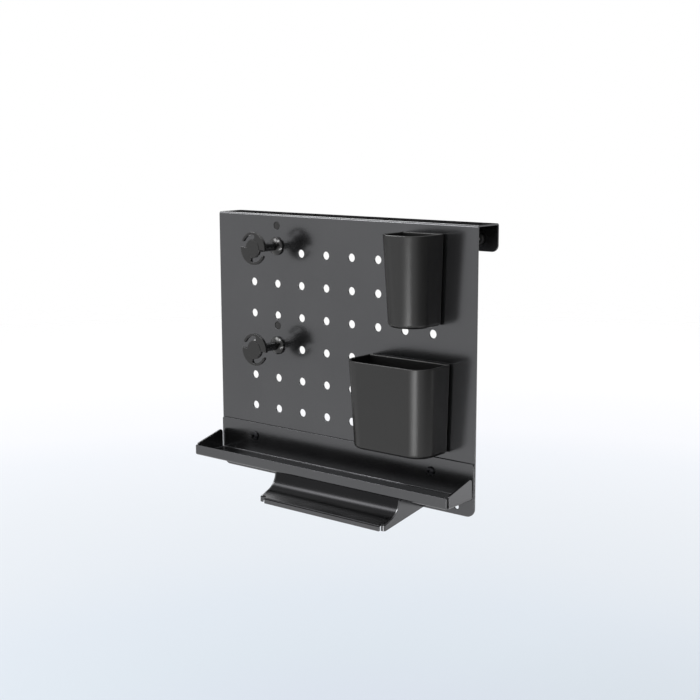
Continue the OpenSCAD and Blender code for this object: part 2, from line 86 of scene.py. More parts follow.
# Lengths below which points count as one, as on a line or as on the flat sheet
MERGE_LENGTH = 1e-7
CUT_LENGTH = 1e-8
LINE_LENGTH = 1e-9
FLAT_LENGTH = 1e-6

# A sharp corner of an outline that is drawn in moves by the distance over this share at most
LEAST_SPREAD_SHARE = 0.5

# A softened corner takes each of its sides' length over this at most
SIDE_ROOM = 2.2
SOFT_STEPS = 4


def at(x, y, z):
    """Point from its X, its distance behind the board's face and its height over the lower edge."""
    return Vector((x, FACE_Y + y, BASE_Z + z))


def arc(centre, radius, start, end, steps):
    """Points of an arc between two directions in radians, both ends included."""
    points = []
    for i in range(steps + 1):
        angle = start + (end - start) * i / steps
        points.append((centre[0] + radius * math.cos(angle), centre[1] + radius * math.sin(angle)))
    return points


def circle(x, y, radius, steps=PEG_STEPS):
    """Closed circle outline."""
    return arc((x, y), radius, 0, TURN * (steps - 1) / steps, steps - 1)


def rounded(corners, steps=CORNER_STEPS):
    """Closed outline from corners (x, y, radius), each corner rounded by its radius."""
    points = []
    count = len(corners)
    for i, (x, y, radius) in enumerate(corners):
        here = Vector((x, y))
        before = (Vector(corners[i - 1][:2]) - here).normalized()
        after = (Vector(corners[(i + 1) % count][:2]) - here).normalized()
        if radius <= 0:
            points.append((x, y))
            continue
        half = before.angle(after) / 2
        reach = radius / math.tan(half)
        middle = here + (before + after).normalized() * radius / math.sin(half)
        first = here + before * reach - middle
        last = here + after * reach - middle
        start = math.atan2(first.y, first.x)
        sweep = math.atan2(last.y, last.x) - start
        sweep = (sweep + math.pi) % TURN - math.pi
        points += arc(middle, radius, start, start + sweep, steps)
    return points


def signed_area(points):
    """Area of a closed outline, positive where it runs anticlockwise."""
    total = 0.0
    for i, (x, y) in enumerate(points):
        nx, ny = points[(i + 1) % len(points)]
        total += x * ny - nx * y
    return total / 2


def drawn_in(points, distance):
    """Outline moved to its left by a distance, which is inwards where it runs anticlockwise."""
    moved = []
    count = len(points)
    for i, point in enumerate(points):
        here = Vector(point)
        before = (here - Vector(points[i - 1])).normalized()
        after = (Vector(points[(i + 1) % count]) - here).normalized()
        left = Vector((-before.y - after.y, before.x + after.x))
        left.normalize()
        share = max(LEAST_SPREAD_SHARE, left.dot(Vector((-before.y, before.x))))
        moved.append(tuple(here + left * distance / share))
    return moved


def stitch(bm, low, high):
    """Faces between two closed rows of vertices."""
    for j in range(len(low)):
        n = (j + 1) % len(low)
        bm.faces.new((low[j], low[n], high[n], high[j]))


def plate(outline, holes=(), thickness=SHEET, edge=SHEET_EDGE, steps=EDGE_STEPS):
    """Flat plate on z = 0 whose rims, the holes' too, are rounded off."""
    bm = bmesh.new()
    loops = []
    for i, points in enumerate([outline, *holes]):
        inner = i > 0
        if (signed_area(points) < 0) != inner:
            points = points[::-1]
        loops.append(points)
    levels = []
    for k in range(steps + 1):
        turn = QUARTER * k / steps
        levels.append((edge * (1 - math.sin(turn)), edge * (1 - math.cos(turn))))
    levels += [(inset, thickness - height) for inset, height in reversed(levels)]
    ends = {0: [], len(levels) - 1: []}
    for points in loops:
        rings = []
        for k, (inset, height) in enumerate(levels):
            ring = [bm.verts.new((x, y, height)) for x, y in drawn_in(points, inset)]
            if k in ends:
                ends[k] += [bm.edges.new((v, ring[(j + 1) % len(ring)])) for j, v in enumerate(ring)]
            rings.append(ring)
        for low, high in zip(rings, rings[1:]):
            stitch(bm, low, high)
    for edges in ends.values():
        bmesh.ops.triangle_fill(bm, use_beauty=True, edges=edges)
    bmesh.ops.recalc_face_normals(bm, faces=bm.faces)
    return bm


def cut_across(bm, start, direction, stations):
    """Cuts the sheet along lines across a direction, so that it can bend there."""
    for station in stations:
        place = (start[0] + direction[0] * station, start[1] + direction[1] * station, 0)
        geometry = bm.verts[:] + bm.edges[:] + bm.faces[:]
        bmesh.ops.bisect_plane(bm, geom=geometry, dist=CUT_LENGTH, plane_co=place,
                               plane_no=(direction[0], direction[1], 0))


def still_flat(co):
    """Whether a point of a sheet hasn't been folded up."""
    return co.z < SHEET + FLAT_LENGTH


def fold(bm, start, direction, angle, radius, towards=1, steps=FOLD_STEPS, only=None):
    """Folds what lies past a line. The line passes through start, across direction; the inner
    radius lies on the upper side where towards is 1 and on the lower side where it is -1."""
    length = angle * (radius + SHEET / 2)
    cut_across(bm, start, direction, [length * i / steps for i in range(steps + 1)])
    for v in bm.verts:
        along = (v.co.x - start[0]) * direction[0] + (v.co.y - start[1]) * direction[1]
        if along <= LINE_LENGTH or (only and not only(v.co)):
            continue
        height = v.co.z if towards > 0 else SHEET - v.co.z
        turn = angle * min(1.0, along / length)
        beyond = max(0.0, along - length)
        reach = SHEET + radius - height
        new_along = reach * math.sin(turn) + beyond * math.cos(turn)
        new_height = SHEET + radius - reach * math.cos(turn) + beyond * math.sin(turn)
        v.co.x += (new_along - along) * direction[0]
        v.co.y += (new_along - along) * direction[1]
        v.co.z = new_height if towards > 0 else SHEET - new_height


def ringed(rings, steps=FINE_STEPS, closed=True):
    """Surface through rings, each a function from direction to (radius, height). It is closed by
    joining the last ring to the first, or else by a face in each."""
    bm = bmesh.new()
    made = []
    for ring in rings:
        row = []
        for j in range(steps):
            angle = TURN * j / steps
            radius, height = ring(angle)
            row.append(bm.verts.new((radius * math.cos(angle), radius * math.sin(angle), height)))
        made.append(row)
    pairs = list(zip(made, made[1:]))
    if closed:
        pairs.append((made[-1], made[0]))
    else:
        bm.faces.new(made[0][::-1])
        bm.faces.new(made[-1])
    for low, high in pairs:
        stitch(bm, low, high)
    bmesh.ops.recalc_face_normals(bm, faces=bm.faces)
    return bm


def round_ring(radius, height):
    """Ring of a circle."""
    return lambda angle: (radius, height)


def hex_ring(across, height, limit=math.inf):
    """Ring of a hexagon by its size across flats, its corners no further out than limit."""
    def ring(angle):
        off = (angle + math.pi / 6) % (math.pi / 3) - math.pi / 6
        return min(across / 2 / math.cos(off), limit), height
    return ring


def turned(profile, steps=FINE_STEPS, closed=False):
    """Solid of revolution through (radius, height) points."""
    return ringed([round_ring(r, h) for r, h in profile], steps, closed)


def softened(profile, radius):
    """Profile of (radius, height) points with its inner corners rounded."""
    points = [profile[0]]
    for before, here, after in zip(profile, profile[1:], profile[2:]):
        a, p, b = Vector(before), Vector(here), Vector(after)
        size = min(radius, (a - p).length / SIDE_ROOM, (b - p).length / SIDE_ROOM)
        first, last = p + (a - p).normalized() * size, p + (b - p).normalized() * size
        for i in range(SOFT_STEPS + 1):
            t = i / SOFT_STEPS
            points.append(tuple(first.lerp(p, t).lerp(p.lerp(last, t), t)))
    points.append(profile[-1])
    return points


def placed(bm, place):
    """Moves every vertex to where the function puts it."""
    for v in bm.verts:
        v.co = place(v.co.copy())
    return bm


def along_y(x, y, z, towards=-1):
    """Placing function for a turned piece: its height runs along Y from the given point."""
    return lambda co: at(x + co.x, y + towards * co.z, z + co.y)


def mesh_from(name, bm):
    """Mesh of a bmesh, which ends with it."""
    mesh = bpy.data.meshes.new(name)
    bm.to_mesh(mesh)
    bm.free()
    return mesh


def scene_object(name, data):
    """New object in the scene."""
    made = bpy.data.objects.new(name, data)
    bpy.context.scene.collection.objects.link(made)
    return made


def joined(parts):
    """One bmesh from several."""
    whole = bmesh.new()
    for part in parts:
        mesh = mesh_from("part", part)
        whole.from_mesh(mesh)
        bpy.data.meshes.remove(mesh)
    return whole


def piece(name, bm, material, slot, body, *nodes, sharp=SHEET_SHARP):
    """Makes a named piece that rides on a body and stands for CAD nodes."""
    bmesh.ops.remove_doubles(bm, verts=bm.verts, dist=MERGE_LENGTH)
    bmesh.ops.dissolve_degenerate(bm, edges=bm.edges, dist=MERGE_LENGTH)
    bmesh.ops.recalc_face_normals(bm, faces=bm.faces)
    mesh = mesh_from(name, bm)
    mesh.shade_smooth()
    mesh.set_sharp_from_angle(angle=math.radians(sharp))
    mesh.materials.append(material)
    made = scene_object(name, mesh)
    weighted = made.modifiers.new("weighted", "WEIGHTED_NORMAL")
    weighted.keep_sharp = True
    weighted.weight = AREA_WEIGHT
    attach(made, body)
    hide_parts(*nodes)
    return made


# Materials

# Noise scales are in waves per metre, for clouding over a whole piece and for its grain or marks
STEEL_CLOUD = 18
STEEL_PEEL = 1400
STEEL_ROUGH = (0.17, 0.21)
STEEL_METALLIC = 0.95
PEEL_STRENGTH = 0.25
PLASTIC_CLOUD = 35
PLASTIC_IOR = 1.52
PLATED_CLOUD = 260
PLATED_MARKS = 900
MARK_STRETCH = (1, 0.05, 1)
GRAIN_STRENGTH = 0.3
GRAIN_H = 0.02 * MM
MARK_H = 0.01 * MM


def new_material(name):
    """New material with its nodes, links and main shader."""
    material = bpy.data.materials.new(name)
    material.use_nodes = True
    nodes = material.node_tree.nodes
    return material, nodes, material.node_tree.links, nodes["Principled BSDF"]


def bare_material(name):
    """New material without a shader, with its nodes and links."""
    material, nodes, links, shader = new_material(name)
    nodes.remove(shader)
    return material, nodes, links


def noise(nodes, links, scale, detail=2.0, stretch=(1, 1, 1)):
    """Noise in object coordinates; scale is in waves per metre."""
    place = nodes.new("ShaderNodeTexCoord")
    mapping = nodes.new("ShaderNodeMapping")
    mapping.inputs["Scale"].default_value = stretch
    texture = nodes.new("ShaderNodeTexNoise")
    texture.inputs["Scale"].default_value = scale
    texture.inputs["Detail"].default_value = detail
    links.new(place.outputs["Object"], mapping.inputs["Vector"])
    links.new(mapping.outputs["Vector"], texture.inputs["Vector"])
    return texture.outputs["Fac"]


def spread(nodes, links, value, low, high, start=0, end=1):
    """Maps a value between a start and an end onto a range."""
    remap = nodes.new("ShaderNodeMapRange")
    for name, setting in (("From Min", start), ("From Max", end), ("To Min", low), ("To Max", high)):
        remap.inputs[name].default_value = setting
    links.new(value, remap.inputs["Value"])
    return remap.outputs["Result"]


def eased(nodes, links, value, start, end, low=0, high=1):
    """Maps as spread does, with a slow start and end."""
    result = spread(nodes, links, value, low, high, start, end)
    result.node.interpolation_type = "SMOOTHSTEP"
    return result


def product(nodes, links, a, b):
    """Product of two values."""
    multiply = nodes.new("ShaderNodeMath")
    multiply.operation = "MULTIPLY"
    links.new(a, multiply.inputs[0])
    links.new(b, multiply.inputs[1])
    return multiply.outputs["Value"]


def tint(nodes, links, value, dark, light):
    """Colour between two by a 0 to 1 value."""
    mix = nodes.new("ShaderNodeMix")
    mix.data_type = "RGBA"
    mix.inputs["A"].default_value = (*dark, 1)
    mix.inputs["B"].default_value = (*light, 1)
    links.new(value, mix.inputs["Factor"])
    return mix.outputs["Result"]


def show_blend(nodes, links, share, first, second):
    """Gives a material's surface a blend of two shaders, by the second one's share."""
    blend = nodes.new("ShaderNodeMixShader")
    links.new(share, blend.inputs["Fac"])
    links.new(first, blend.inputs[1])
    links.new(second, blend.inputs[2])
    links.new(blend.outputs["Shader"], nodes["Material Output"].inputs["Surface"])


def bumped(nodes, links, shader, height, distance, strength):
    """Gives a shader a fine relief."""
    bump = nodes.new("ShaderNodeBump")
    bump.inputs["Distance"].default_value = distance
    bump.inputs["Strength"].default_value = strength
    links.new(height, bump.inputs["Height"])
    links.new(bump.outputs["Normal"], shader.inputs["Normal"])


def coated_steel(name, dark, light):
    """Satin coating over steel, with a faint orange peel."""
    material, nodes, links, shader = new_material(name)
    broad = noise(nodes, links, STEEL_CLOUD, detail=3)
    fine = noise(nodes, links, STEEL_PEEL)
    links.new(tint(nodes, links, broad, dark, light), shader.inputs["Base Color"])
    links.new(spread(nodes, links, broad, *STEEL_ROUGH), shader.inputs["Roughness"])
    shader.inputs["Metallic"].default_value = STEEL_METALLIC
    bumped(nodes, links, shader, fine, GRAIN_H, PEEL_STRENGTH)
    return material


def satin_plastic(name, dark, light, rough_low, rough_high, grain):
    """Moulded plastic with a fine spark-eroded grain."""
    material, nodes, links, shader = new_material(name)
    broad = noise(nodes, links, PLASTIC_CLOUD, detail=3)
    fine = noise(nodes, links, grain)
    links.new(tint(nodes, links, broad, dark, light), shader.inputs["Base Color"])
    links.new(spread(nodes, links, broad, rough_low, rough_high), shader.inputs["Roughness"])
    shader.inputs["IOR"].default_value = PLASTIC_IOR
    bumped(nodes, links, shader, fine, GRAIN_H, GRAIN_STRENGTH)
    return material


def plated_metal(name, dark, light, rough_low, rough_high):
    """Plated metal with fine turning marks and slight clouding."""
    material, nodes, links, shader = new_material(name)
    cloud = noise(nodes, links, PLATED_CLOUD, detail=4)
    marks = noise(nodes, links, PLATED_MARKS, stretch=MARK_STRETCH)
    links.new(tint(nodes, links, cloud, dark, light), shader.inputs["Base Color"])
    links.new(spread(nodes, links, marks, rough_low, rough_high), shader.inputs["Roughness"])
    shader.inputs["Metallic"].default_value = 1.0
    bumped(nodes, links, shader, marks, MARK_H, GRAIN_STRENGTH)
    return material


STEEL = coated_steel("coated_steel", (0.093, 0.094, 0.098), (0.107, 0.108, 0.112))
# Near-black coat for the saddle's upper side: painted shade that stands in for the shade under the tray
SADDLE_SHADE_COAT = coated_steel("painted_shade_coat", (0.014, 0.014, 0.015), (0.020, 0.020, 0.021))
PLASTIC_DARK = (0.002, 0.002, 0.0021)
PLASTIC_LIGHT = (0.003, 0.003, 0.0031)
CUP = satin_plastic("cup_plastic", PLASTIC_DARK, PLASTIC_LIGHT, 0.3, 0.36, 2600)
HOOK = satin_plastic("hook_plastic", PLASTIC_DARK, PLASTIC_LIGHT, 0.18, 0.23, 2200)
RUBBER = satin_plastic("pad_rubber", (0.010, 0.010, 0.010), (0.015, 0.015, 0.015), 0.6, 0.72, 3000)
BLACK = plated_metal("black_screw", (0.018, 0.018, 0.02), (0.03, 0.03, 0.033), 0.25, 0.35)
ZINC = plated_metal("zinc", (0.5, 0.51, 0.53), (0.62, 0.62, 0.63), 0.22, 0.34)
NICKEL = plated_metal("magnet", (0.6, 0.6, 0.6), (0.7, 0.69, 0.67), 0.14, 0.22)


# Board

BOARD_CORNER = 8 * MM
BOARD_CORNER_STEPS = 10
LIP_CORNER = 6 * MM
BACK_LIP_H = 24.5 * MM
PEG_PITCH = 30 * MM
PEG_R = 3.75 * MM
PEG_HALF_COLUMNS = 4
PEG_ROWS = 6
PEG_FIRST_Z = 65 * MM
PEG_WEB = 1.5 * MM
CORNER_HOLE_R = 2.3 * MM
CORNER_HOLE_X = BOARD_HALF - 18.5 * MM
FIX_ROW_Z = 7 * MM
HOOK_X = -75 * MM
HOOK_HEIGHTS = {"lower": 126.5 * MM, "upper": BOARD_H - 29.5 * MM}
KEY_RISE = 19 * MM
SCREW_R = 2 * MM
HOLE_CLEAR = 0.2 * MM
CLAMP_X = BOARD_HALF - 18 * MM
CLAMP_Z = BOARD_H - 14 * MM
BUSH_R = 4.5 * MM
TRAY_SCREW_X = BOARD_HALF - 45 * MM
TRAY_Z = 16 * MM
TRAY_SCREW_Z = TRAY_Z + 18.5 * MM
HANGER_MIDDLE = 25 * MM
HANGER_HALF = 72.5 * MM
TAB_W = 16 * MM
TAB_SCREW_INSET = FOLD_R + (TAB_W - FOLD_R) / 2
HANGER_SCREWS = (HANGER_MIDDLE - HANGER_HALF + TAB_SCREW_INSET,
                 HANGER_MIDDLE + HANGER_HALF - TAB_SCREW_INSET)


def hook_holes():
    """Places of the two holes of each hook."""
    return [(HOOK_X, z + rise) for z in HOOK_HEIGHTS.values() for rise in (0, KEY_RISE)]


def peg_holes():
    """Places of the grid's holes, without those that a hook's holes take the place of."""
    places = []
    for i in range(PEG_HALF_COLUMNS):
        for side in (-1, 1):
            for j in range(PEG_ROWS):
                x, z = side * (i + 0.5) * PEG_PITCH, PEG_FIRST_Z + j * PEG_PITCH
                clear = 2 * PEG_R + PEG_WEB
                if all(math.dist((x, z), hole) >= clear for hole in hook_holes()):
                    places.append((x, z))
    return places


def make_board():
    """Board, drawn flat and folded back twice, into the top plate and the back lip."""
    top_flat = BOARD_DEPTH - 2 * FOLD_R
    first_fold = BOARD_H - FOLD_R
    second_fold = first_fold + FOLD_LENGTH + top_flat
    end = second_fold + FOLD_LENGTH + BACK_LIP_H - FOLD_R
    outline = rounded([(-BOARD_HALF, 0, BOARD_CORNER), (BOARD_HALF, 0, BOARD_CORNER),
                       (BOARD_HALF, end, LIP_CORNER), (-BOARD_HALF, end, LIP_CORNER)], BOARD_CORNER_STEPS)
    holes = [circle(x, z, PEG_R) for x, z in peg_holes() + hook_holes()]
    lip_place = second_fold + FOLD_LENGTH + BOARD_H - FOLD_R - CLAMP_Z
    for side in (-1, 1):
        holes.append(circle(side * CORNER_HOLE_X, FIX_ROW_Z, CORNER_HOLE_R, HOLE_STEPS))
        holes.append(circle(side * TRAY_SCREW_X, TRAY_SCREW_Z, SCREW_R + HOLE_CLEAR, HOLE_STEPS))
        holes.append(circle(side * CLAMP_X, lip_place, BUSH_R + HOLE_CLEAR, BORE_STEPS))
    for x in HANGER_SCREWS:
        holes.append(circle(x, FIX_ROW_Z, SCREW_R + HOLE_CLEAR, HOLE_STEPS))
    bm = plate(outline, holes)
    fold(bm, (0, second_fold), (0, 1), QUARTER, FOLD_INNER)
    fold(bm, (0, first_fold), (0, 1), QUARTER, FOLD_INNER)
    placed(bm, lambda co: at(co.x, co.z, co.y))
    piece("board", bm, STEEL, "coated_steel", "root", "pegboard_panel")


# Tray

TRAY_DEPTH = 40 * MM
TRAY_LIP_H = 10 * MM
TRAY_BACK_H = 31.4 * MM
TRAY_BACK_CORNER = 2 * MM
GUSSET_BACK_H = 20 * MM
GUSSET_FRONT_H = 11 * MM
GUSSET_R = 3 * MM
GUSSET_FRONT_R = 0.8 * MM
TRAY_INSET = 0.5 * MM
TRAY_RELIEF = 0.9 * MM
TRAY_LIP_CORNER = 0.8 * MM


def make_tray():
    """Tray, drawn flat with its floor in the middle; gussets, lip and back plate are folded up."""
    half = BOARD_HALF - TRAY_INSET
    floor_half = half - FOLD_R
    lip_half = half - TRAY_RELIEF
    front_fold = TRAY_DEPTH - FOLD_R
    gusset_front = front_fold - TRAY_RELIEF
    gusset_back = FOLD_R + TRAY_RELIEF
    lip_end = front_fold + FOLD_LENGTH + TRAY_LIP_H - FOLD_R
    back_end = FOLD_R - FOLD_LENGTH - (TRAY_BACK_H - FOLD_R)
    front_up = floor_half + FOLD_LENGTH + GUSSET_FRONT_H - FOLD_R
    back_up = floor_half + FOLD_LENGTH + GUSSET_BACK_H - FOLD_R
    side = [(half, back_end, TRAY_BACK_CORNER), (half, FOLD_R, 0), (floor_half, FOLD_R, 0),
            (floor_half, gusset_back, 0), (back_up, gusset_back, GUSSET_R),
            (front_up, gusset_front, GUSSET_FRONT_R), (floor_half, gusset_front, 0),
            (floor_half, front_fold, 0), (lip_half, front_fold, 0), (lip_half, lip_end, TRAY_LIP_CORNER)]
    other = [(-x, y, r) for x, y, r in reversed(side)]
    hole_place = FOLD_R - FOLD_LENGTH - (TRAY_SCREW_Z - TRAY_Z - FOLD_R)
    holes = [circle(s * TRAY_SCREW_X, hole_place, SCREW_R + HOLE_CLEAR, HOLE_STEPS) for s in (-1, 1)]
    bm = plate(rounded(side + other), holes)
    for s in (-1, 1):
        fold(bm, (s * floor_half, 0), (s, 0), QUARTER, FOLD_INNER,
             only=lambda co: gusset_back - SHEET_EDGE < co.y < gusset_front + SHEET_EDGE)
    fold(bm, (0, front_fold), (0, 1), QUARTER, FOLD_INNER, only=still_flat)
    fold(bm, (0, FOLD_R), (0, -1), QUARTER, FOLD_INNER, only=still_flat)
    placed(bm, lambda co: at(co.x, -co.y, TRAY_Z + co.z))
    piece("tray", bm, STEEL, "coated_steel", "root", "tray_shelf")


# Hanger

HANGER_REACH = 57.5 * MM
SADDLE_BACK = 36 * MM
SADDLE_R = 17 * MM
SADDLE_TURN = math.radians(68)
SADDLE_STEPS = 32
HEM_H = 4 * MM
HEM_GAP = 1.8 * MM
HEM_INNER = 0.3 * MM
HEM_STEPS = 8
RETURN_W = 2.4 * MM
SADDLE_NOTCH = 2 * MM
SADDLE_NOTCH_R = HEM_GAP / 2.1
NOSE_H = 4.3 * MM
CHEEK_LOW = 0.5 * MM
CHEEK_SLOT_L = 10 * MM
CHEEK_SLOT_H = 1.8 * MM
CHEEK_STEPS = 24
SADDLE_END = math.pi + SADDLE_TURN
SADDLE_MIDDLE = (SADDLE_BACK + SADDLE_R, TRAY_Z)
CURVE_END = (SADDLE_MIDDLE[0] + SADDLE_R * math.cos(SADDLE_END),
             SADDLE_MIDDLE[1] + SADDLE_R * math.sin(SADDLE_END))
NOSE_TOP = CURVE_END[1] - (HANGER_REACH - CURVE_END[0]) / math.tan(SADDLE_END)

# Least upward share of a face's direction in the saddle's upper side, whose near-black coat is painted
# shade under the tray
UPWARD_SHARE = 0.02


def make_saddle():
    """Saddle with its turned-down hem, drawn flat and bent; its up-facing side is coated near-black as
    painted shade under the tray.
    """
    inner_half = HANGER_HALF - SHEET
    hem_half = inner_half - RETURN_W - HEM_GAP
    curve_length = SADDLE_TURN * (SADDLE_R + SHEET / 2)
    bend = HEM_INNER + SHEET
    run = (HANGER_REACH - CURVE_END[0] - bend * (1 - math.cos(SADDLE_TURN))) / math.sin(SADDLE_TURN)
    hem_fold = curve_length + run
    # The hem's lower edge lies its height under the slope's inner corner
    end = hem_fold + SADDLE_TURN * (HEM_INNER + SHEET / 2) + HEM_H - HEM_INNER * math.tan(SADDLE_TURN / 2)
    notch = hem_fold - SADDLE_NOTCH
    side = [(inner_half, 0, 0), (inner_half, notch, SHEET / 3), (hem_half, notch, SADDLE_NOTCH_R),
            (hem_half, end, SHEET / 2)]
    other = [(-x, y, r) for x, y, r in reversed(side)]
    bm = plate(rounded(side + other))
    fold(bm, (0, hem_fold), (0, 1), SADDLE_TURN, HEM_INNER, towards=-1, steps=HEM_STEPS)
    fold(bm, (0, 0), (0, 1), SADDLE_TURN, SADDLE_R, steps=SADDLE_STEPS)
    placed(bm, lambda co: at(HANGER_MIDDLE + co.x, -(SADDLE_BACK - SHEET + co.z), TRAY_Z - co.y))
    saddle = piece("saddle", bm, STEEL, "coated_steel", "root", "hanger_saddle")
    # Faces turned up and forward take the near-black coat: painted shade under the tray
    saddle.data.materials.append(SADDLE_SHADE_COAT)
    for face in saddle.data.polygons:
        face.material_index = int(face.normal.y < 0 and face.normal.z > UPWARD_SHARE)


def make_cheek(name, side, node):
    """Cheek, drawn by distance from the board and height; its tab and return are folded in."""
    nose = HANGER_REACH - FOLD_R
    nose_low = NOSE_TOP - NOSE_H
    tab_end = FOLD_R - FOLD_LENGTH - (TAB_W - FOLD_R)
    return_end = nose + FOLD_LENGTH + RETURN_W + SHEET - FOLD_R
    slope = 1 / math.tan(SADDLE_END)
    nose_z = CURVE_END[1] - (nose - CURVE_END[0]) * slope
    low_slope = (nose_low - CHEEK_LOW) / (HANGER_REACH - FOLD_R)
    nose_under = CHEEK_LOW + low_slope * (nose - FOLD_R)
    slot_back = SADDLE_BACK + SHEET - CHEEK_SLOT_L
    slot_low = TRAY_Z - CHEEK_SLOT_H
    hollow_start = math.pi + math.asin(CHEEK_SLOT_H / SADDLE_R)
    hollow = arc(SADDLE_MIDDLE, SADDLE_R, hollow_start, SADDLE_END, CHEEK_STEPS)
    outline = [(tab_end, CHEEK_LOW), (FOLD_R, CHEEK_LOW), (nose, nose_under),
               (return_end, nose_under), (return_end, nose_z), (nose, nose_z)]
    outline += hollow[::-1]
    outline += [(slot_back, slot_low), (slot_back, TRAY_Z), (tab_end, TRAY_Z)]
    tab_screw = FOLD_R - FOLD_LENGTH - (TAB_SCREW_INSET - FOLD_R)
    bm = plate(outline, [circle(tab_screw, FIX_ROW_Z, SCREW_R + HOLE_CLEAR, HOLE_STEPS)])
    fold(bm, (nose, 0), (1, 0), QUARTER, FOLD_INNER)
    fold(bm, (FOLD_R, 0), (-1, 0), QUARTER, FOLD_INNER, only=still_flat)
    outer = HANGER_MIDDLE + side * HANGER_HALF
    placed(bm, lambda co: at(outer - side * co.z, -co.x, co.y))
    piece(name, bm, STEEL, "coated_steel", "root", node)


# Screws and nuts

HEAD_R = 4 * MM
HEAD_H = 2.4 * MM
HEAD_DOME_R = 2 * HEAD_R
HEAD_SEAT_EDGE = 0.15 * MM
HEAD_RIM_EDGE = 0.1 * MM
DOME_STEPS = 8
SOCKET_AF = 2.5 * MM
SOCKET_H = 1.2 * MM
SOCKET_DROP = 0.08 * MM
SOCKET_FLARE = 0.2 * MM
SOCKET_CHAMFER = 0.12 * MM
SOCKET_MOUTH_SHARE = 0.7
CONE_H = 0.2 * MM
CONE_TIP_R = 0.1 * MM
SCREW_END_SHARE = 0.7
SCREW_END_H = 0.3 * MM
SCREW_TAIL = 0.8 * MM
THREAD_PITCH = 0.7 * MM
THREAD_DEPTH = 0.3 * MM
THREAD_STOP = 0.2 * MM
THREAD_CLEAR = 0.05 * MM
ROWS_PER_PITCH = 8
NUT_AF = 7 * MM
NUT_H = 3.2 * MM
NUT_CHAMFER = 0.35 * MM
NUT_FACE_SHARE = 0.97
NUT_BORE_CLEAR = 0.06 * MM
NUT_BORE_EDGE = 0.3 * MM


def thread(radius, low, high, pitch, depth):
    """Rings of a helical thread between two heights."""
    rings = []
    count = round((high - low) / pitch * ROWS_PER_PITCH)
    for i in range(count + 1):
        height = low + (high - low) * i / count

        def ring(angle, height=height):
            phase = (height / pitch - angle / TURN) % 1
            return radius - depth * (1 - abs(2 * phase - 1)), height
        rings.append(ring)
    return rings


def key_socket(across, mouth, bottom, flare=SOCKET_FLARE, chamfer=SOCKET_CHAMFER):
    """Rings of a hexagonal socket, from its flared mouth to the cone past its bottom."""
    into = math.copysign(1, bottom - mouth)
    return [hex_ring(across + flare, mouth), hex_ring(across, mouth + into * chamfer),
            hex_ring(across, bottom), round_ring(CONE_TIP_R, bottom + into * CONE_H)]


def pan_screw(length):
    """Pan-head screw with a key socket; its head's seat is at height 0 and its head above it."""
    dome_middle = HEAD_H - HEAD_DOME_R
    base = math.sqrt(HEAD_DOME_R ** 2 - HEAD_R ** 2) + dome_middle
    rings = [round_ring(SCREW_R * SCREW_END_SHARE, -length)]
    crest = SCREW_R - THREAD_CLEAR
    rings += thread(crest, SCREW_END_H - length, -THREAD_STOP, THREAD_PITCH, THREAD_DEPTH)
    rings += [round_ring(SCREW_R, 0), round_ring(HEAD_R - HEAD_SEAT_EDGE, 0)]
    rings += [round_ring(HEAD_R, HEAD_SEAT_EDGE), round_ring(HEAD_R, base - HEAD_RIM_EDGE)]
    top = math.asin(SOCKET_AF * SOCKET_MOUTH_SHARE / HEAD_DOME_R)
    widest = math.asin((HEAD_R - HEAD_RIM_EDGE) / HEAD_DOME_R)
    for radius, height in arc((0, dome_middle), HEAD_DOME_R, QUARTER - widest, QUARTER - top, DOME_STEPS):
        rings.append(round_ring(radius, height))
    rings += key_socket(SOCKET_AF, HEAD_H - SOCKET_DROP, HEAD_H - SOCKET_H)
    return ringed(rings, closed=False)


def nut():
    """Hexagonal nut with chamfered corners and a plain bore; it stands on height 0."""
    flat = NUT_AF / 2
    corner = flat / math.cos(math.pi / 6)
    bore = SCREW_R + NUT_BORE_CLEAR
    rings = [round_ring(bore, 0), round_ring(flat * NUT_FACE_SHARE, 0)]
    for height, limit in ((0, flat), (NUT_CHAMFER, corner), (NUT_H - NUT_CHAMFER, corner), (NUT_H, flat)):
        rings.append(hex_ring(NUT_AF, height, limit))
    rings += [round_ring(bore + NUT_BORE_EDGE, NUT_H), round_ring(bore, NUT_H - NUT_BORE_EDGE)]
    return ringed(rings)


def make_fixings(name, places, node_screws, node_nuts):
    """Screws through the sheet that lies on the board's face, with nuts behind the board."""
    length = 2 * SHEET + NUT_H + SCREW_TAIL
    screws = [placed(pan_screw(length), along_y(x, -SHEET, z)) for x, z in places]
    piece(name + "_screw_pair", joined(screws), BLACK, "black_screw", "root", node_screws,
          sharp=TURNED_SHARP)
    nuts = [placed(nut(), along_y(x, SHEET, z, 1)) for x, z in places]
    piece(name + "_nut_pair", joined(nuts), ZINC, "zinc", "root", node_nuts, sharp=TURNED_SHARP)


# Hooks

DISC_R = 15 * MM
DISC_T = 3.4 * MM
DISC_EDGE = 0.45 * MM
DISC_EDGE_STEPS = 4
DISC_RAISE = 0.4 * MM
RAISE_INSET = 0.5 * MM
RAISE_SLOPE = 0.15 * MM
RAISE_SOFTNESS = 0.25 * MM
SLOT_W = 4.1 * MM
ARM_W = 2.25 * MM
SLOT_START = math.radians(88)
ARM_TIP = math.radians(154)
MOUTH_END = math.radians(175)
RIM_ARC_STEPS = 48
TIP_ARC_STEPS = 8
SLOT_OUTER_STEPS = 28
SLOT_END_STEPS = 14
SLOT_INNER_STEPS = 34
HOOK_REACH = 33.5 * MM
SHAFT_R = 4 * MM
SHAFT_ROOT = 0.2 * MM
SHAFT_END_H = 0.3 * MM
SHAFT_END_EDGE = 0.1 * MM
COLLAR_R = 8.5 * MM
COLLAR_T = 1.8 * MM
COLLAR_EDGE = 0.3 * MM
COLLAR_RIM = 0.25 * MM
BOWL_H = 2.5 * MM
BOWL_STEPS = 12
KEY_PLATE_R = 6.5 * MM
KEY_PLATE_T = 2.6 * MM
KEY_PLATE_EDGE = 0.4 * MM
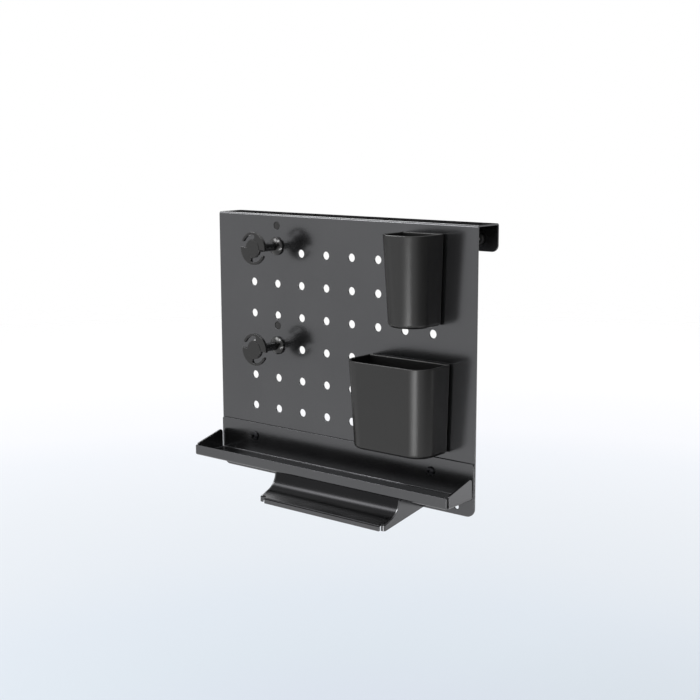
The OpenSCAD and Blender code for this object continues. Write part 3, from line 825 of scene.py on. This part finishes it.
KEY_PLATE_STEPS = 24
KEY_RECESS = 0.3 * MM
KEY_PEG_SOFTNESS = 0.3 * MM
HOOK_SCREW_L = 10 * MM
HOOK_SCREW_END_H = 0.5 * MM
HOOK_HEAD_R = 3.8 * MM
HOOK_HEAD_H = 1.9 * MM
HOOK_HEAD_EDGE = 0.2 * MM


def disc_outline():
    """Outline of a disc with two slots that are open to its rim, each past an arm's tip."""
    slot_out = DISC_R - ARM_W
    slot_in = slot_out - SLOT_W
    slot_mid = (slot_in + slot_out) / 2
    arm_mid = DISC_R - ARM_W / 2
    tip_turn = ARM_W / 2 / arm_mid
    points = []
    for half_turn in (math.pi, TURN):
        start = half_turn - math.pi + MOUTH_END
        tip = half_turn + ARM_TIP - tip_turn
        closed = half_turn + SLOT_START
        mouth = half_turn + MOUTH_END
        points += arc((0, 0), DISC_R, start, tip, RIM_ARC_STEPS)
        centre = (arm_mid * math.cos(tip), arm_mid * math.sin(tip))
        points += arc(centre, ARM_W / 2, tip, tip + math.pi, TIP_ARC_STEPS)[1:-1]
        points += arc((0, 0), slot_out, tip, closed, SLOT_OUTER_STEPS)
        centre = (slot_mid * math.cos(closed), slot_mid * math.sin(closed))
        points += arc(centre, SLOT_W / 2, closed, closed - math.pi, SLOT_END_STEPS)[1:-1]
        points += arc((0, 0), slot_in, closed, mouth, SLOT_INNER_STEPS)
    return points


def make_disc(which, z):
    """Slotted disc with a slightly raised middle."""
    front = HOOK_REACH - DISC_RAISE
    disc = plate(disc_outline(), (), DISC_T - DISC_RAISE, DISC_EDGE, DISC_EDGE_STEPS)
    placed(disc, lambda co: at(HOOK_X + co.x, -front + co.z, z + co.y))
    boss_r = DISC_R - ARM_W - SLOT_W - RAISE_INSET
    profile = [(AXIS_R, 0), (boss_r, 0), (boss_r - RAISE_SLOPE, DISC_RAISE),
               (boss_r / 2, DISC_RAISE), (AXIS_R, DISC_RAISE)]
    boss = placed(turned(softened(profile, RAISE_SOFTNESS)), along_y(HOOK_X, -front, z))
    piece(which + "_disc", joined([disc, boss]), HOOK, "hook_plastic", "root", which + "_hook_disc")


def make_shaft(which, z):
    """Shaft that flares into its collar, with a peg in the board's hole."""
    peg_r = PEG_R - HOLE_CLEAR
    profile = [(peg_r, -SHEET), (peg_r, 0), (COLLAR_R - COLLAR_EDGE, 0), (COLLAR_R, COLLAR_EDGE),
               (COLLAR_R, COLLAR_T - COLLAR_EDGE), (COLLAR_R - COLLAR_RIM, COLLAR_T)]
    drop = (COLLAR_R ** 2 - SHAFT_R ** 2 - BOWL_H ** 2) / (2 * BOWL_H)
    bowl_r = math.hypot(COLLAR_R, drop)
    for i in range(1, BOWL_STEPS + 1):
        height = BOWL_H * i / BOWL_STEPS
        profile.append((math.sqrt(bowl_r ** 2 - (drop + height) ** 2), COLLAR_T + height))
    end = HOOK_REACH - DISC_T
    profile += [(SHAFT_R, COLLAR_T + BOWL_H + SHAFT_ROOT), (SHAFT_R, end - SHAFT_END_H),
                (SHAFT_R - SHAFT_END_EDGE, end)]
    shaft = placed(turned(profile), along_y(HOOK_X, 0, z))
    piece(which + "_shaft", shaft, HOOK, "hook_plastic", "root", which + "_hook_shaft")


def make_key_plate(which, z):
    """Plate behind the board whose peg in a second hole keeps the hook from turning."""
    stadium = arc((0, 0), KEY_PLATE_R, math.pi, TURN, KEY_PLATE_STEPS)
    stadium += arc((0, KEY_RISE), KEY_PLATE_R, 0, math.pi, KEY_PLATE_STEPS)
    bore = circle(0, 0, HOOK_HEAD_R + HOLE_CLEAR, BORE_STEPS)
    key = plate(stadium, [bore], KEY_PLATE_T, KEY_PLATE_EDGE)
    placed(key, lambda co: at(HOOK_X + co.x, SHEET + co.z, z + co.y))
    peg_r = PEG_R - HOLE_CLEAR
    peg_l = SHEET - KEY_RECESS
    profile = softened([(AXIS_R, 0), (peg_r, 0), (peg_r, peg_l), (AXIS_R, peg_l)], KEY_PEG_SOFTNESS)
    peg = placed(turned(profile), along_y(HOOK_X, SHEET, z + KEY_RISE))
    piece(which + "_key", joined([key, peg]), HOOK, "hook_plastic", "root", which + "_hook_key_plate")


def make_rear_screw(which, z):
    """Screw through the key plate into the shaft; its head lies at height 0 and its end above it."""
    rings = [round_ring(SCREW_R * SCREW_END_SHARE, HOOK_SCREW_L),
             round_ring(SCREW_R, HOOK_SCREW_L - HOOK_SCREW_END_H),
             round_ring(SCREW_R, HOOK_HEAD_H),
             round_ring(HOOK_HEAD_R - HEAD_RIM_EDGE, HOOK_HEAD_H),
             round_ring(HOOK_HEAD_R, HOOK_HEAD_H - HEAD_RIM_EDGE),
             round_ring(HOOK_HEAD_R, HOOK_HEAD_EDGE),
             round_ring(HOOK_HEAD_R - HOOK_HEAD_EDGE, 0)]
    rings += key_socket(SOCKET_AF, 0, SOCKET_H)
    screw = placed(ringed(rings, closed=False), along_y(HOOK_X, SHEET + KEY_PLATE_T, z))
    piece(which + "_rear_screw", screw, ZINC, "zinc", "root", which + "_hook_screw", sharp=TURNED_SHARP)


# Cups

CUP_H = 78.5 * MM
CUP_RIM_DEPTH = 40.5 * MM
CUP_BASE_DEPTH = 36 * MM
CUP_NARROWING = 5 * MM
CUP_WALL = 1.8 * MM
CUP_FLOOR = 2.2 * MM
CUP_GAP = 1.5 * MM
CUP_BACK_R = 2 * MM
CUP_BACK_R_LEAST = 0.2 * MM
CUP_FOOT_R = 3.5 * MM
CUP_INNER_R = 1.5 * MM
BACK_STEPS = 6
FRONT_STEPS = 20
FOOT_STEPS = 5
SIDE_STEPS = 12
RIM_STEPS = 8
SEAT_CLEAR = 0.2 * MM
MAGNET_R = 8 * MM
MAGNET_SEAT = 1.1 * MM
MAGNET_INSET = 17 * MM
MAGNET_SOFTNESS = 0.3 * MM
MAGNET_STEPS = 64
MAGNET_T = CUP_GAP - SEAT_CLEAR + MAGNET_SEAT
UTILITY_CUP_W = 87.5 * MM
CUPS = {
    "pen": {"x": 95.5 * MM, "z": 163 * MM, "w": 43.7 * MM, "r": 18.5 * MM, "columns": (0,)},
    "utility": {"x": 81 * MM, "z": 52.5 * MM, "w": UTILITY_CUP_W, "r": 17 * MM,
                "columns": (-UTILITY_CUP_W / 4, UTILITY_CUP_W / 4)},
}


def cup_plan(width, front_r, height, inset):
    """Outline of a cup's plan at a height, drawn in from its outer face. Y is in front of the board."""
    depth = CUP_BASE_DEPTH + (CUP_RIM_DEPTH - CUP_BASE_DEPTH) * height / CUP_H
    outer_half = (width - CUP_NARROWING * (CUP_H - height) / CUP_H) / 2
    half = outer_half - inset
    low, high = CUP_GAP + inset, CUP_GAP + depth - inset
    back_r = max(CUP_BACK_R - inset, CUP_BACK_R_LEAST)
    r = min(front_r, outer_half) - inset
    points = []
    for side in (1, -1):
        corner_back = (side * (half - back_r), low + back_r)
        corner_front = (side * (half - r), high - r)
        back = arc(corner_back, back_r, -QUARTER, 0 if side > 0 else -math.pi, BACK_STEPS)
        front = arc(corner_front, r, 0 if side > 0 else math.pi, QUARTER, FRONT_STEPS)
        points += back + front if side > 0 else front[::-1] + back[::-1]
    return points


def cup_levels():
    """Insets from the outer face, with their heights: up the outside, over the rim, down to the floor."""
    rim = CUP_WALL / 2
    top = CUP_H - rim
    levels = arc((CUP_FOOT_R, CUP_FOOT_R), CUP_FOOT_R, -QUARTER, -math.pi, FOOT_STEPS)
    for i in range(1, SIDE_STEPS + 1):
        levels.append((0, CUP_FOOT_R + (top - CUP_FOOT_R) * i / SIDE_STEPS))
    levels += arc((rim, top), rim, math.pi, 0, RIM_STEPS)[1:]
    floor_corner = (CUP_WALL + CUP_INNER_R, CUP_FLOOR + CUP_INNER_R)
    levels += arc(floor_corner, CUP_INNER_R, math.pi, math.pi + QUARTER, FOOT_STEPS)
    return levels


def make_cup(which):
    """Open cup, from its foot up over the rim and down to its floor."""
    cup = CUPS[which]
    bm = bmesh.new()
    rows = []
    for inset, height in cup_levels():
        plan = cup_plan(cup["w"], cup["r"], height, inset)
        rows.append([bm.verts.new((x, y, height)) for x, y in plan])
    for low, high in zip(rows, rows[1:]):
        stitch(bm, low, high)
    bm.faces.new(rows[0])
    bm.faces.new(rows[-1])
    placed(bm, lambda co: at(cup["x"] + co.x, -co.y, cup["z"] + co.z))
    piece(which + "_holder", bm, CUP, "cup_plastic", which + "_cup_body", which + "_cup")


def make_magnets(which):
    """Magnet discs in a cup's back, near its foot and its rim."""
    cup = CUPS[which]
    corners = [(AXIS_R, 0), (MAGNET_R, 0), (MAGNET_R, MAGNET_T), (AXIS_R, MAGNET_T)]
    profile = softened(corners, MAGNET_SOFTNESS)
    discs = []
    for column in cup["columns"]:
        for height in (MAGNET_INSET, CUP_H - MAGNET_INSET):
            place = along_y(cup["x"] + column, -SEAT_CLEAR, cup["z"] + height)
            discs.append(placed(turned(profile, MAGNET_STEPS), place))
    piece(which + "_magnet_set", joined(discs), NICKEL, "magnet", which + "_cup_body",
          which + "_cup_magnets", sharp=TURNED_SHARP)


# Clamps

CLAMP_STEPS = 72
CLAMP_R = 3 * MM
CLAMP_LEN = 16 * MM
CLAMP_NOSE_R = 1.5 * MM
CLAMP_NOSE_EDGE = 0.2 * MM
CLAMP_SOCKET_AF = 3 * MM
CLAMP_SOCKET_H = 3 * MM
CLAMP_SOCKET_FLARE = 0.3 * MM
CLAMP_SOCKET_CHAMFER = 0.2 * MM
CLAMP_PITCH = 1 * MM
CLAMP_THREAD = 0.5 * MM
CLAMP_THREAD_START = 0.3 * MM
CLAMP_THREAD_STOP = 0.4 * MM
PAD_R = 4.5 * MM
PAD_T = 2.6 * MM
PAD_BACK_EDGE = 0.4 * MM
PAD_FACE_EDGE = 0.6 * MM
PAD_BORE_EDGE = 0.2 * MM
BUSH_FLANGE_R = 6 * MM
BUSH_FLANGE_T = 1 * MM
BUSH_FLANGE_EDGE = 0.2 * MM
BUSH_LEN = 5 * MM
BUSH_MOUTH_EDGE = 0.1 * MM
BUSH_END_EDGE = 0.3 * MM
RUN_CLEAR = 0.06 * MM
LIP_FRONT = BOARD_DEPTH - SHEET


def make_bushes():
    """Flanged bushes in the back lip, bored for the clamp screws."""
    bore = CLAMP_R + RUN_CLEAR
    flange = SHEET + BUSH_FLANGE_T
    end = SHEET + BUSH_LEN
    profile = [(bore, BUSH_MOUTH_EDGE), (bore + BUSH_MOUTH_EDGE, 0), (BUSH_R, 0), (BUSH_R, SHEET),
               (BUSH_FLANGE_R, SHEET), (BUSH_FLANGE_R, flange - BUSH_FLANGE_EDGE),
               (BUSH_FLANGE_R - BUSH_FLANGE_EDGE, flange), (BUSH_R, flange),
               (BUSH_R, end - BUSH_END_EDGE), (BUSH_R - BUSH_END_EDGE, end),
               (bore + BUSH_END_EDGE, end), (bore, end - BUSH_END_EDGE)]
    bushes = []
    for side in (-1, 1):
        bush = turned(profile, CLAMP_STEPS, closed=True)
        bushes.append(placed(bush, along_y(side * CLAMP_X, LIP_FRONT, CLAMP_Z, 1)))
    piece("bush_pair", joined(bushes), BLACK, "black_screw", "root", "clamp_bushes", sharp=TURNED_SHARP)


def make_pad(name, side):
    """Swivel pad around the screw's nose."""
    bore = CLAMP_NOSE_R + RUN_CLEAR
    profile = [(bore, 0), (PAD_R - PAD_BACK_EDGE, 0), (PAD_R, PAD_BACK_EDGE),
               (PAD_R, PAD_T - PAD_FACE_EDGE), (PAD_R - PAD_FACE_EDGE, PAD_T),
               (bore + PAD_BORE_EDGE, PAD_T), (bore, PAD_T - PAD_BORE_EDGE)]
    place = along_y(side * CLAMP_X, LIP_FRONT - SEAT_CLEAR, CLAMP_Z)
    pad = placed(turned(profile, CLAMP_STEPS, closed=True), place)
    piece(name + "_pad", pad, RUBBER, "pad_rubber", name + "_pad_body", name + "_clamp_pad")


def make_clamp_screw(name, side):
    """Threaded screw with a key socket behind and a plain nose in front."""
    root_r = CLAMP_R - CLAMP_THREAD
    rings = [round_ring(CONE_TIP_R, -PAD_T), round_ring(CLAMP_NOSE_R - CLAMP_NOSE_EDGE, -PAD_T),
             round_ring(CLAMP_NOSE_R, CLAMP_NOSE_EDGE - PAD_T), round_ring(CLAMP_NOSE_R, 0),
             round_ring(root_r, 0)]
    rings += thread(CLAMP_R, CLAMP_THREAD_START, CLAMP_LEN - CLAMP_THREAD_STOP, CLAMP_PITCH, CLAMP_THREAD)
    rings.append(round_ring(root_r, CLAMP_LEN))
    rings += key_socket(CLAMP_SOCKET_AF, CLAMP_LEN, CLAMP_LEN - CLAMP_SOCKET_H,
                        CLAMP_SOCKET_FLARE, CLAMP_SOCKET_CHAMFER)
    screw = ringed(rings, CLAMP_STEPS, closed=False)
    placed(screw, along_y(side * CLAMP_X, LIP_FRONT, CLAMP_Z, 1))
    piece(name + "_set_screw", screw, ZINC, "zinc", name + "_screw_body", name + "_clamp_screw",
          sharp=TURNED_SHARP)


make_board()
make_tray()
make_saddle()
make_cheek("left_cheek", -1, "hanger_left_cheek")
make_cheek("right_cheek", 1, "hanger_right_cheek")
make_fixings("tray", [(s * TRAY_SCREW_X, TRAY_SCREW_Z) for s in (-1, 1)], "tray_screws", "tray_nuts")
make_fixings("hanger", [(x, FIX_ROW_Z) for x in HANGER_SCREWS], "hanger_screws", "hanger_nuts")
for hook, hook_z in HOOK_HEIGHTS.items():
    make_disc(hook, hook_z)
    make_shaft(hook, hook_z)
    make_key_plate(hook, hook_z)
    make_rear_screw(hook, hook_z)
for cup_name in CUPS:
    make_cup(cup_name)
    make_magnets(cup_name)
make_bushes()
for side_name, side_sign in (("left", -1), ("right", 1)):
    make_pad(side_name, side_sign)
    make_clamp_screw(side_name, side_sign)


# Studio

CAMERA_AZIMUTH = math.radians(39.45)
CAMERA_ELEVATION = math.radians(9.80)
CAMERA_ROLL = math.radians(-0.17)
CAMERA_PLACE = at(0.7442, -0.8884, 0.3301)
PHOTO_SIZE = 700
FOCAL_PIXELS = 1292
SENSOR = 36

# Where the dark zone starts and ends in the direction of a glossy ray: axis, the two places on it,
# and the zone's share at each
DARK_ZONE = (("Z", -0.03, 0.01, 0, 1), ("Z", 0.3, 0.75, 1, 0), ("Y", -0.1, 0.15, 0, 1))
DARK_TONE = (0.004, 0.004, 0.004)
WHITE = (1, 1, 1)

# Floor tones from its middle outwards: distance in metres, then red, green and blue from 0 to 255
FLOOR_TONES = ((0.29, 218, 225, 235), (0.45, 220, 228, 236), (0.63, 223, 230, 238), (0.85, 229, 234, 240),
               (1.14, 234, 238, 243), (1.52, 241, 244, 249), (1.75, 248, 249, 253), (2.36, 255, 255, 255))
FLOOR_FADE = (2.4, 4.0)
FLOOR_ALBEDO = (0.92, 0.92, 0.92)
FLOOR_HALF = 12.0
FLOOR_DROP = 0.35
FLOOR_CELLS = 8

# A card is soft from this share of its half length and width out to its edge
CARD_SOFT_SHARE = 0.4
CARD_HALF = 0.5

# Cards by name: middle, length and width as vectors, and the glow at the length's two ends
CARDS = {
    "low_strip": (at(0.40, -1.20, -0.348), (1.321, -0.712, 0), (0.199, 0.370, 0), (0, 31)),
    "top_card": (at(-0.80, 0.47, 1.07), (0.60, 0.20, 0.42), (0, 0.42, -0.17), (9, 9)),
    "front_card": (at(-0.86, -0.82, 1.05), (0.66, -0.78, 0), (0.16, 0.14, 0.30), (11, 11)),
    "high_card": (at(-0.18, -1.55, 1.41), (0.75, 0, 0), (0, 0.31, 0.37), (18, 18)),
    "left_flag": (at(-1.1, -0.2, -0.03), (0, 0.8, 0), (0, 0, 0.64), (0.4, 0.4)),
    "right_flag": (at(1.1, 0.15, 0.0), (0, 1.8, 0), (0, 0, 0.7), (0.3, 0.03)),
    "side_card": (at(0.76, 0.75, -0.19), (0.42, -0.33, 0), (0, 0, 0.30), (1.5, 1.5)),
}

KEY_PLACE = (-0.6, -1.6, 1.2)
KEY_TARGET = (0, 0, -0.1)
KEY_SIZE = 0.8
KEY_POWER = 6


def make_camera():
    """Camera at the photograph's place, angle and field of view."""
    data = bpy.data.cameras.new("camera")
    data.sensor_width = SENSOR
    data.lens = FOCAL_PIXELS / PHOTO_SIZE * SENSOR
    camera = scene_object("camera", data)
    back = Vector((math.sin(CAMERA_AZIMUTH) * math.cos(CAMERA_ELEVATION),
                   -math.cos(CAMERA_AZIMUTH) * math.cos(CAMERA_ELEVATION), math.sin(CAMERA_ELEVATION)))
    camera.location = CAMERA_PLACE
    turn = back.to_track_quat("Z", "Y").to_matrix().to_4x4()
    camera.rotation_euler = (turn @ Matrix.Rotation(CAMERA_ROLL, 4, "Z")).to_euler()
    bpy.context.scene.camera = camera


def make_world():
    """White surroundings. Glossy rays also meet a dark zone low above the horizon behind the board."""
    world = bpy.data.worlds.new("studio")
    bpy.context.scene.world = world
    world.use_nodes = True
    nodes, links = world.node_tree.nodes, world.node_tree.links
    direction = nodes.new("ShaderNodeTexCoord")
    parts = nodes.new("ShaderNodeSeparateXYZ")
    links.new(direction.outputs["Generated"], parts.inputs["Vector"])
    path = nodes.new("ShaderNodeLightPath")
    zone = path.outputs["Is Glossy Ray"]
    for axis, low, high, first, last in DARK_ZONE:
        zone = product(nodes, links, zone, eased(nodes, links, parts.outputs[axis], low, high, first, last))
    background = nodes["Background"]
    links.new(tint(nodes, links, zone, WHITE, DARK_TONE), background.inputs["Color"])
    background.inputs["Strength"].default_value = 1.0


def linear(value):
    """Linear light of a colour value from 0 to 255, by the sRGB curve."""
    share = value / 255
    return share / 12.92 if share <= 0.04045 else ((share + 0.055) / 1.055) ** 2.4


def floor_tone(nodes, links, reach):
    """Colour of the floor by distance from its middle."""
    far = FLOOR_TONES[-1][0]
    scaled = nodes.new("ShaderNodeMath")
    scaled.operation = "DIVIDE"
    scaled.inputs[1].default_value = far
    links.new(reach, scaled.inputs[0])
    ramp = nodes.new("ShaderNodeValToRGB")
    elements = ramp.color_ramp.elements
    while len(elements) < len(FLOOR_TONES):
        elements.new(0.5)
    for element, (distance, *tone) in zip(elements, FLOOR_TONES):
        element.position = distance / far
        element.color = (*(linear(v) for v in tone), 1)
    links.new(scaled.outputs["Value"], ramp.inputs["Fac"])
    return ramp.outputs["Color"]


def make_floor():
    """Pale floor under the hanging board, which fades into the white surroundings."""
    bm = bmesh.new()
    bmesh.ops.create_grid(bm, x_segments=FLOOR_CELLS, y_segments=FLOOR_CELLS, size=FLOOR_HALF)
    floor = scene_object("floor", mesh_from("floor", bm))
    floor.location.z = BASE_Z - FLOOR_DROP
    material, nodes, links = bare_material("floor")
    place = nodes.new("ShaderNodeTexCoord")
    length = nodes.new("ShaderNodeVectorMath")
    length.operation = "LENGTH"
    links.new(place.outputs["Object"], length.inputs[0])
    reach = length.outputs["Value"]
    path = nodes.new("ShaderNodeLightPath")
    mix = nodes.new("ShaderNodeMix")
    mix.data_type = "RGBA"
    mix.inputs["A"].default_value = (*FLOOR_ALBEDO, 1)
    links.new(path.outputs["Is Camera Ray"], mix.inputs["Factor"])
    links.new(floor_tone(nodes, links, reach), mix.inputs["B"])
    diffuse = nodes.new("ShaderNodeBsdfDiffuse")
    links.new(mix.outputs["Result"], diffuse.inputs["Color"])
    clear = nodes.new("ShaderNodeBsdfTransparent")
    fade = eased(nodes, links, reach, *FLOOR_FADE)
    show_blend(nodes, links, fade, diffuse.outputs["BSDF"], clear.outputs["BSDF"])
    floor.data.materials.append(material)


def reflector(name, place, along, across, strengths):
    """Card that only reflections show, spanned by two vectors. It is soft towards its edges, and
    its glow runs from the first strength to the last over its length."""
    bm = bmesh.new()
    bmesh.ops.create_grid(bm, x_segments=1, y_segments=1, size=CARD_HALF)
    card = scene_object(name, mesh_from(name, bm))
    along, across = Vector(along), Vector(across)
    axes = Matrix((along, across, along.cross(across).normalized())).transposed()
    card.matrix_world = Matrix.Translation(place) @ axes.to_4x4()
    card.visible_camera = card.visible_diffuse = card.visible_shadow = card.visible_transmission = False
    material, nodes, links = bare_material(name)
    where = nodes.new("ShaderNodeTexCoord")
    parts = nodes.new("ShaderNodeSeparateXYZ")
    links.new(where.outputs["Object"], parts.inputs["Vector"])
    edges = []
    for axis in "XY":
        off = nodes.new("ShaderNodeMath")
        off.operation = "ABSOLUTE"
        links.new(parts.outputs[axis], off.inputs[0])
        edges.append(eased(nodes, links, off.outputs["Value"], CARD_HALF, CARD_HALF * CARD_SOFT_SHARE))
    soft = product(nodes, links, *edges)
    glow = nodes.new("ShaderNodeEmission")
    run = spread(nodes, links, parts.outputs["X"], *strengths, -CARD_HALF, CARD_HALF)
    links.new(run, glow.inputs["Strength"])
    clear = nodes.new("ShaderNodeBsdfTransparent")
    show_blend(nodes, links, soft, clear.outputs["BSDF"], glow.outputs["Emission"])
    card.data.materials.append(material)


def make_key_light():
    """Large soft lamp high in front on the left."""
    data = bpy.data.lights.new("key", "AREA")
    data.shape = "SQUARE"
    data.size = KEY_SIZE
    data.energy = KEY_POWER
    light = scene_object("key", data)
    light.location = KEY_PLACE
    light.rotation_euler = (Vector(KEY_PLACE) - Vector(KEY_TARGET)).to_track_quat("Z", "Y").to_euler()
    light.visible_camera = False


make_camera()
make_world()
make_floor()
for card_name, card_values in CARDS.items():
    reflector(card_name, *card_values)
make_key_light()
bpy.context.scene.view_settings.view_transform = "Standard"
